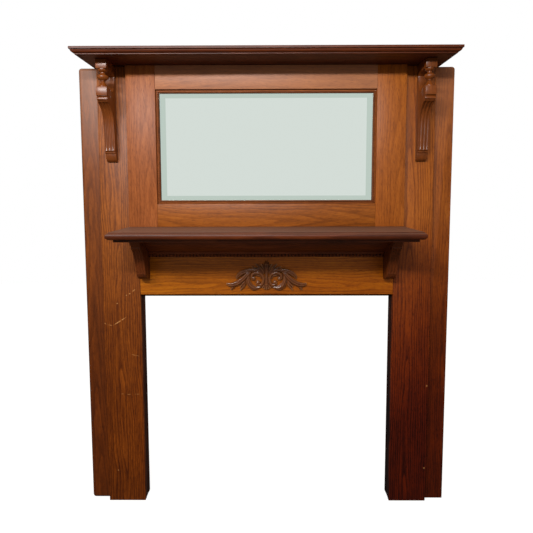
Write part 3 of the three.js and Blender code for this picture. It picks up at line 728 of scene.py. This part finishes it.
def addBrackets(prefix, look, material):
    outline = list(look["top"])
    if look["notch"]:
        outline += smoothPath([p + (0,) for p in look["notch"]], 5)
    outline += look["upper"]
    for key in ("cove", "fillet", "curve", "foot", "base"):
        points = [p + (0,) for p in look[key]]
        outline += points if key in ("fillet", "foot") else smoothPath(points, 6)
    outline.append((0.3, look["base"][-1][1]))
    clean = [outline[0]]
    for point in outline[1:]:
        if (Vector(point[:2]) - Vector(clean[-1][:2])).length > 0.4:
            clean.append(point)
    left = -look["centre"] - look["thickness"] / 2
    points = [atHeight(left, pilasterFront - p[0], p[1]) for p in clean]
    bracket = outlineSolid(points, (look["thickness"] * mm, 0, 0))
    easeEdges(bracket, look["eased"])
    curve = smoothPath([p + (0,) for p in look["curve"]], 6)
    pitch = (look["thickness"] - 3) / look["count"]
    inset = look["flute"] - look["fluteDepth"]
    track = []
    for i, point in enumerate(curve):
        along = (curve[min(i + 1, len(curve) - 1)] - curve[max(i - 1, 0)]).normalized()
        lift = inset
        if i == 0 or i == len(curve) - 1:
            lift += look["fluteDepth"]
        elif i == 1 or i == len(curve) - 2:
            lift += look["fluteDepth"] * 0.35
        track.append((point.x - along.y * lift, point.y + along.x * lift))
    for k in range(look["count"]):
        x = -look["centre"] + (k - (look["count"] - 1) / 2) * pitch
        path = [atHeight(x, pilasterFront - reach, z) for reach, z in track]
        cutter = traceTube(path, [look["flute"]], 16)
        selectOnly(bracket)
        applyModifier(bracket, "BOOLEAN", {"operation": "DIFFERENCE", "solver": "EXACT", "object": cutter})
        bpy.data.objects.remove(cutter)
    other = copyPiece(bracket, (2 * look["centre"] * mm, 0, 0))
    for piece, side in ((bracket, "_left"), (other, "_right")):
        node = prefix + side
        finishPiece(piece, node + "_fluted", material, [node], 30)


addBrackets("upper_bracket", bracketSets["upper_bracket"], carvedOak)
addBrackets("small_bracket", bracketSets["small_bracket"], smallBracketOak)
print("brackets made")


# Spindles: turned between two square blocks, radii and heights in mm from the lower block's top
spindleSet = {
    "centre": 634, "reach": 87, "half": 21, "blockEdge": 0.8,
    "lowerBlock": (1725, 1758), "upperBlock": (1827, 1860.7),
    "turning": [(0, -1), (18.5, -1), (19, 1), (18.6, 3.4), (16.5, 7), (13.2, 12), (10, 17),
                (8, 20.4), (7.4, 21.4), (7.7, 22.6), (9.4, 23.4), (9.6, 25), (12, 27),
                (16.6, 29.6), (19.8, 33), (21.6, 36.6), (22.2, 39), (21.5, 42), (19.6, 45),
                (16, 47.5), (12.2, 49.2), (10, 50.6), (9, 52.4), (8.9, 54.8), (9.2, 56.6),
                (10.4, 57.6), (13.4, 59), (16.6, 61.4), (18.6, 64), (19.2, 66.6), (19, 70),
                (0, 70)],
}


def addSpindles(look):
    x, y = -look["centre"], pilasterFront - look["reach"]
    low = look["lowerBlock"][1]
    turned = traceLine([atHeight(x + radius, y, low + height) for radius, height in look["turning"]])
    bpy.ops.mesh.spin(steps=32, angle=2 * math.pi, center=atHeight(x, y, low), axis=(0, 0, 1))
    bpy.ops.mesh.select_all(action="SELECT")
    bpy.ops.mesh.remove_doubles(threshold=0.00002)
    bpy.ops.mesh.normals_make_consistent(inside=False)
    bpy.ops.object.mode_set(mode="OBJECT")
    parts = [turned]
    for z0, z1 in (look["lowerBlock"], look["upperBlock"]):
        selectOnly()
        bpy.ops.mesh.primitive_cube_add(size=1, location=atHeight(x, y, (z0 + z1) / 2))
        block = bpy.context.object
        block.scale = (2 * look["half"] * mm, 2 * look["half"] * mm, (z1 - z0) * mm)
        bpy.ops.object.transform_apply(location=False, rotation=False, scale=True)
        editAll()
        bpy.ops.mesh.bevel(offset=look["blockEdge"] * mm, segments=2, affect="EDGES")
        bpy.ops.object.mode_set(mode="OBJECT")
        parts.append(block)
    spindle = joinPieces(parts)
    bpy.ops.object.transform_apply(location=True, rotation=True, scale=True)
    other = copyPiece(spindle, (2 * look["centre"] * mm, 0, 0))
    for piece, node in ((spindle, "bracket_spindle_left"), (other, "bracket_spindle_right")):
        finishPiece(piece, node + "_turned", carvedOak, [node], 28)


addSpindles(spindleSet)
print("spindles made")


# Moulding under the mid shelf: fillet, hollow and a row of small beads
underSet = {
    "half": 489.7, "eased": 0.8,
    "profile": [(0.3, 1169.7), (85, 1169.7), (85, 1166), (82, 1165.5), (82, 1142), (79, 1141.5),
                (77, 1137)],
    "hollow": [(77, 1137), (62, 1124), (42, 1112), (26, 1105.5), (18, 1102)],
    "foot": [(18, 1098.5), (14.5, 1098), (14.5, 1092.3), (0.3, 1092.3)],
    "beadTop": 1092, "beadHeight": 11, "beadPitch": 14, "beadReach": 13.5, "beadAxis": 7,
    "bedAxis": 4.15, "bedDepth": 7.7, "bedEdge": 0.8,   # the strip that the beads are carved from
}


def addUnderMoulding(look):
    hollow = smoothPath([p + (0,) for p in look["hollow"]], 5)[1:]
    outline = look["profile"] + [(p.x, p.y) for p in hollow] + look["foot"]
    points = [atHeight(-look["half"], pilasterFront - reach, z) for reach, z in outline]
    moulding = outlineSolid(points, (2 * look["half"] * mm, 0, 0))
    easeEdges(moulding, look["eased"])
    finishPiece(moulding, "under_shelf_moulding_hollow", darkOakMoulding,
                ["under_shelf_moulding"], 26)


def addBeads(look):
    count = int(2 * look["half"] / look["beadPitch"])
    pitch = 2 * look["half"] / count
    selectOnly()
    middle = look["beadTop"] - look["beadHeight"] / 2
    first = atHeight(-look["half"] + pitch / 2, pilasterFront - look["beadAxis"], middle)
    bpy.ops.mesh.primitive_uv_sphere_add(segments=10, ring_count=6, radius=1, location=first)
    bead = bpy.context.object
    reach = look["beadReach"] - look["beadAxis"]
    bead.scale = (0.47 * pitch * mm, reach * mm, 0.48 * look["beadHeight"] * mm)
    bpy.ops.object.transform_apply(location=True, rotation=True, scale=True)
    repeatPiece(bead, count, (pitch * mm, 0, 0))
    selectOnly()
    bedMiddle = atHeight(0, pilasterFront - look["bedAxis"], middle)
    bpy.ops.mesh.primitive_cube_add(size=1, location=bedMiddle)
    strip = bpy.context.object
    strip.scale = (2 * look["half"] * mm, look["bedDepth"] * mm, look["beadHeight"] * mm)
    bpy.ops.object.transform_apply(location=False, rotation=False, scale=True)
    editAll()
    bpy.ops.mesh.bevel(offset=look["bedEdge"] * mm, segments=1, affect="EDGES")
    bpy.ops.object.mode_set(mode="OBJECT")
    strip.data.materials.append(beadGapShadeOak)
    bead.data.materials.append(darkOakMoulding)
    row = joinPieces([strip, bead])
    finishPiece(row, "bead_strip_beads", None, ["bead_strip"], 40)


addUnderMoulding(underSet)
addBeads(underSet)
print("moulding under the mid shelf made")


# Mirror: silvered plate glass; the bevel shows more of the green of the thick glass, and its darker tint
# is painted shade for the dimmer reflection its slant catches
def silveredGlass(name, tint):
    material, tree = newMaterial(name)
    shader = addNode(tree, "ShaderNodeBsdfPrincipled", {
        "Base Color": linearColour(tint), "Metallic": 1.0, "Roughness": 0.03,
    })
    addNode(tree, "ShaderNodeOutputMaterial", {}, {"Surface": shader.outputs[0]})
    return material


mirrorSet = {
    "bevelStart": 4.0,       # mm of flat margin inside the rope moulding
    "bevel": 26.0,
    "drop": 0.5,
    "margin": 6.0,           # mm hidden under the moulding
    "taller": 1.03,          # the bevel is narrower above and below
    "edgeTint": "#e4f1ea",
    # darker than the face: painted shade for the bevel's dimmer reflection
    "bevelShadedTint": "#cfdfd5",
    "faceTint": "#eaf4ee",
}


def addMirror(look):
    selectOnly()
    low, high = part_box("mirror_glass")
    bpy.ops.mesh.primitive_cube_add(size=1, location=(low + high) / 2)
    glass = bpy.context.object
    glass.scale = high - low
    bpy.ops.object.transform_apply(location=True, rotation=True, scale=True)
    bpy.ops.object.mode_set(mode="EDIT")
    bpy.ops.mesh.select_all(action="DESELECT")
    bpy.ops.object.mode_set(mode="OBJECT")
    for face in glass.data.polygons:
        face.select = face.normal.y < -0.9
    bpy.ops.object.mode_set(mode="EDIT")
    bpy.ops.mesh.select_mode(type="FACE")
    bpy.ops.transform.translate(value=(0, look["drop"] * mm, 0))
    bpy.ops.mesh.inset(thickness=(look["bevelStart"] + look["margin"]) * mm)
    bpy.ops.mesh.inset(thickness=look["bevel"] * mm)
    bpy.ops.transform.translate(value=(0, -look["drop"] * mm, 0))
    bpy.ops.transform.resize(value=(1, 1, look["taller"]))
    bpy.ops.object.mode_set(mode="OBJECT")
    glass.data.materials.append(silveredGlass("silveredPlateGlass", look["faceTint"]))
    glass.data.materials.append(silveredGlass("silveredPlateGlassBevelShaded", look["bevelShadedTint"]))
    glass.data.materials.append(silveredGlass("silveredPlateGlassMargin", look["edgeTint"]))
    for face in glass.data.polygons:
        if face.normal.y < -0.9999 and face.center.y < low.y + 0.2 * mm:
            face.material_index = 0
        elif face.normal.y < -0.9999:
            face.material_index = 2
        elif face.normal.y < -0.9:
            face.material_index = 1
    finishPiece(glass, "mirror_glass_bevelled", None, ["mirror_glass"], 1)
    lit = bpy.data.collections.new("litByCard")   # the card is there for the mirror to reflect
    lit.objects.link(glass)
    card.light_linking.receiver_collection = lit
    unlit = bpy.data.collections.new("unlitByLamp")
    unlit.objects.link(glass)
    unlit.collection_objects[0].light_linking.link_state = "EXCLUDE"
    lamp.light_linking.receiver_collection = unlit


addMirror(mirrorSet)


# Rope moulding: a sloping flat outside, mitred at the corners, and a row of twists inside
ropeSet = {
    "outer": (449.2, 1303.3, 1765.7),   # half width, bottom and top of the moulding
    "back": -78.9,                      # mm, just in front of the glass
    "gap": 0.3,
    "flat": 7.0, "flatHeight": 4.2, "slope": 2.2,
    "core": 7.0, "bedHeight": 3.2, "axis": 3.4, "pitch": 7.6, "proud": 8.0, "lean": 38,
}


def addRope(look):
    half, low, high = look["outer"]
    back, gap = look["back"], look["gap"]
    flat, core = look["flat"], look["core"]
    deep = flat + core
    flatOak = oak("stainedOakRopeFlat", {
        "grain": "x", "heart": (0, 60, 1500), "light": "#a5602f", "mid": "#854820", "dark": "#5f3012",
        "lowShade": 0.2,
    })
    ropeOak = oak("darkStainedOakRope", {
        "grain": "x", "heart": (0, 60, 1500), "light": "#9a5c34", "mid": "#7a4220", "dark": "#4a2410",
        "lowShade": 0.2, "roughness": 0.38,
    })
    runs = {
        "rope_bottom": ((-half, low), (half, low), (0, 1)),
        "rope_top": ((half, high), (-half, high), (0, -1)),
        "rope_left": ((-half, high), (-half, low), (1, 0)),
        "rope_right": ((half, low), (half, high), (-1, 0)),
    }
    for node, (start, end, inward) in runs.items():
        a, b, n = Vector(start), Vector(end), Vector(inward)
        along = (b - a).normalized()
        corners = [a + along * gap, b - along * gap,
                   b - along * (flat + gap) + n * flat, a + along * (flat + gap) + n * flat]
        strip = outlineSolid([atHeight(p.x, back, p.y) for p in corners], (0, -look["flatHeight"] * mm, 0))
        edge = (a + b) / 2 + n * flat
        inner = atHeight(edge.x, back, edge.y)
        for vertex in strip.data.vertices:
            offset = abs((vertex.co.x - inner.x) * n.x + (vertex.co.z - inner.z) * n.y)
            if offset > 0.5 * flat * mm and vertex.co.y < (back - 1) * mm:
                vertex.co.y += look["slope"] * mm
        strip.data.materials.append(flatOak)
        inside = [a + along * flat + n * flat, b - along * flat + n * flat,
                  b - along * deep + n * deep, a + along * deep + n * deep]
        bed = outlineSolid([atHeight(p.x, back, p.y) for p in inside], (0, -look["bedHeight"] * mm, 0))
        bed.data.materials.append(ropeOak)
        length = (b - a).length - 2 * flat - (0 if n.y else 2 * core)
        count = round(length / look["pitch"])
        pitch = length / count
        first = a + along * (flat + (0 if n.y else core) + pitch / 2) + n * (flat + core / 2)
        selectOnly()
        centre = atHeight(first.x, back - look["axis"], first.y)
        bpy.ops.mesh.primitive_uv_sphere_add(segments=8, ring_count=6, radius=1, location=centre)
        twist = bpy.context.object
        lengthwise = (0.72 * pitch * mm, (look["proud"] - look["axis"]) * mm, 0.42 * core * mm)
        twist.scale = lengthwise if n.y else (lengthwise[2], lengthwise[1], lengthwise[0])
        twist.rotation_euler = (0, math.radians(look["lean"]), 0)
        bpy.ops.object.transform_apply(location=True, rotation=True, scale=True)
        repeatPiece(twist, count, (along.x * pitch * mm, 0, along.y * pitch * mm))
        twist.data.materials.append(ropeOak)
        whole = joinPieces([strip, bed, twist])
        finishPiece(whole, node + "_moulding", None, [node], 40)


addRope(ropeSet)
print("mirror and rope moulding made")


# Carved ornament: strokes in mm from its middle and from the opening's top, left half and middle
carvingSet = {
    "opening": 920, "face": -73.3, "steps": 7, "sides": 12,
    "voxel": 1.0, "smoothing": 0.5, "smoothingRounds": 3,
    # each stroke: path, widths, reliefs, ridges
    "strokes": [
        ([(-5, 94), (-12, 112), (-23, 130)], [5, 9, 4], [9, 10, 6], 1),
        ([(-10, 93), (-27, 113), (-44, 131)], [5, 12, 5], [8, 10, 5], 2),
        ([(-15, 90), (-34, 107), (-63, 119)], [6, 11, 4], [8, 9, 4], 2),
        ([(-13, 88), (-37, 102), (-63, 105), (-86, 101), (-110, 89), (-122, 77), (-124, 67)],
         [8, 12, 15, 19, 20, 14, 6], [8, 10, 12, 13, 13, 10, 6], 2),
        ([(-64, 102), (-81, 87), (-96, 71), (-114, 56), (-134, 46), (-153, 43), (-168, 48)],
         [8, 16, 19, 21, 20, 17, 7], [10, 14, 15, 15, 14, 13, 9], 2),
        ([(-132, 43), (-143, 31), (-150, 20)], [14, 13, 6], [11, 10, 6], 1),
        ([(-86, 69), (-98, 48), (-112, 33)], [8, 13, 5], [10, 11, 6], 1),
        ([(-88, 58), (-95, 39), (-111, 19)], [8, 13, 6], [9, 10, 6], 1),
        ([(-66, 100), (-75, 81), (-77, 62), (-70, 43), (-54, 30), (-37, 30), (-18, 36)],
         [7, 12, 17, 22, 23, 12, 5], [9, 12, 14, 14, 13, 10, 8], 3),
        ([(-55, 66), (-62, 74), (-58, 87), (-41, 93), (-24, 88), (-14, 74), (-14, 58), (-21, 44),
          (-33, 43), (-40, 50)],
         [14, 13, 12, 12, 12, 12, 12, 12, 14, 16], [12, 13, 14, 14, 14, 14, 14, 13, 13, 13], 1),
        ([(-50, 84), (-38, 84), (-26, 79), (-21, 69)], [5, 7, 6, 4], [9, 11, 10, 8], 1),
    ],
    "knobs": [(-54, 70, 8.5, 13), (-36, 53, 9.5, 14)],
    "middle": [
        ([(0, 90), (0, 112), (0, 130), (0, 143)], [9, 20, 26, 9], [12, 15, 16, 9], 1),
        ([(0, 94), (0, 72), (0, 44)], [17, 11, 20], [13, 13, 14], 1),
    ],
    "shellRibs": 9, "shellFoot": (0, 56), "shellReach": 33, "shellSpread": 1.15,
}


def addStroke(path, widths, reliefs, ridges, look):
    line = smoothPath([(x, 0, z) for x, z in path], look["steps"])
    strokes = []
    for ridge in range(ridges):
        place = 0 if ridges == 1 else (ridge / (ridges - 1) - 0.5) * 2
        points, radii = [], []
        for i, point in enumerate(line):
            t = i / (len(line) - 1)
            along = (line[min(i + 1, len(line) - 1)] - line[max(i - 1, 0)]).normalized()
            width, relief = shareAt(widths, t), shareAt(reliefs, t)
            radius = width / 2 if ridges == 1 else width * (0.33 if ridges == 2 else 0.25)
            side = place * (width / 2 - radius)
            out = relief * (1 - 0.12 * abs(place) * (ridges == 3)) - radius
            x = point.x + along.z * side
            z = look["opening"] + point.z - along.x * side
            points.append(atHeight(x, look["face"] - out, z))
            radii.append(radius)
        strokes.append(traceTube(points, radii, look["sides"]))
    return strokes


def addCarving(look):
    half = []
    for path, widths, reliefs, ridges in look["strokes"]:
        half += addStroke(path, widths, reliefs, ridges, look)
    for x, z, radius, relief in look["knobs"]:
        selectOnly()
        centre = atHeight(x, look["face"] - relief + radius, look["opening"] + z)
        bpy.ops.mesh.primitive_uv_sphere_add(segments=20, ring_count=12, radius=radius * mm,
                                             location=centre)
        bpy.ops.object.transform_apply(location=True, rotation=True, scale=True)
        half.append(bpy.context.object)
    carving = joinPieces(half)
    bpy.ops.object.duplicate()
    bpy.ops.transform.resize(value=(-1, 1, 1), center_override=(0, 0, 0))
    bpy.ops.object.transform_apply(location=True, rotation=True, scale=True)
    mirrored = bpy.context.object
    editAll()
    bpy.ops.mesh.normals_make_consistent(inside=False)
    bpy.ops.object.mode_set(mode="OBJECT")
    middle = []
    for path, widths, reliefs, ridges in look["middle"]:
        middle += addStroke(path, widths, reliefs, ridges, look)
    footX, footZ = look["shellFoot"]
    for k in range(look["shellRibs"]):
        lean = (k / (look["shellRibs"] - 1) - 0.5) * 2 * look["shellSpread"]
        reach = look["shellReach"] * (1 - 0.1 * abs(lean))
        path = [(footX + s * reach * math.sin(lean), footZ - s * reach * math.cos(lean))
                for s in (0.1, 0.5, 1)]
        middle += addStroke(path, [4, 6, 7.5], [9, 10, 10], 1, look)
    carving = joinPieces([carving, mirrored] + middle)
    applyModifier(carving, "REMESH", {"mode": "VOXEL", "voxel_size": look["voxel"] * mm})
    applyModifier(carving, "SMOOTH", {"factor": look["smoothing"], "iterations": look["smoothingRounds"]})
    editAll()
    bpy.ops.mesh.bisect(plane_co=atHeight(0, look["face"], 0), plane_no=(0, 1, 0),
                        clear_outer=True, use_fill=True)
    bpy.ops.object.mode_set(mode="OBJECT")
    finishPiece(carving, "carved_ornament_leaves", ornamentOak, ["carved_ornament"], 60)


addCarving(carvingSet)
print("carved ornament made")
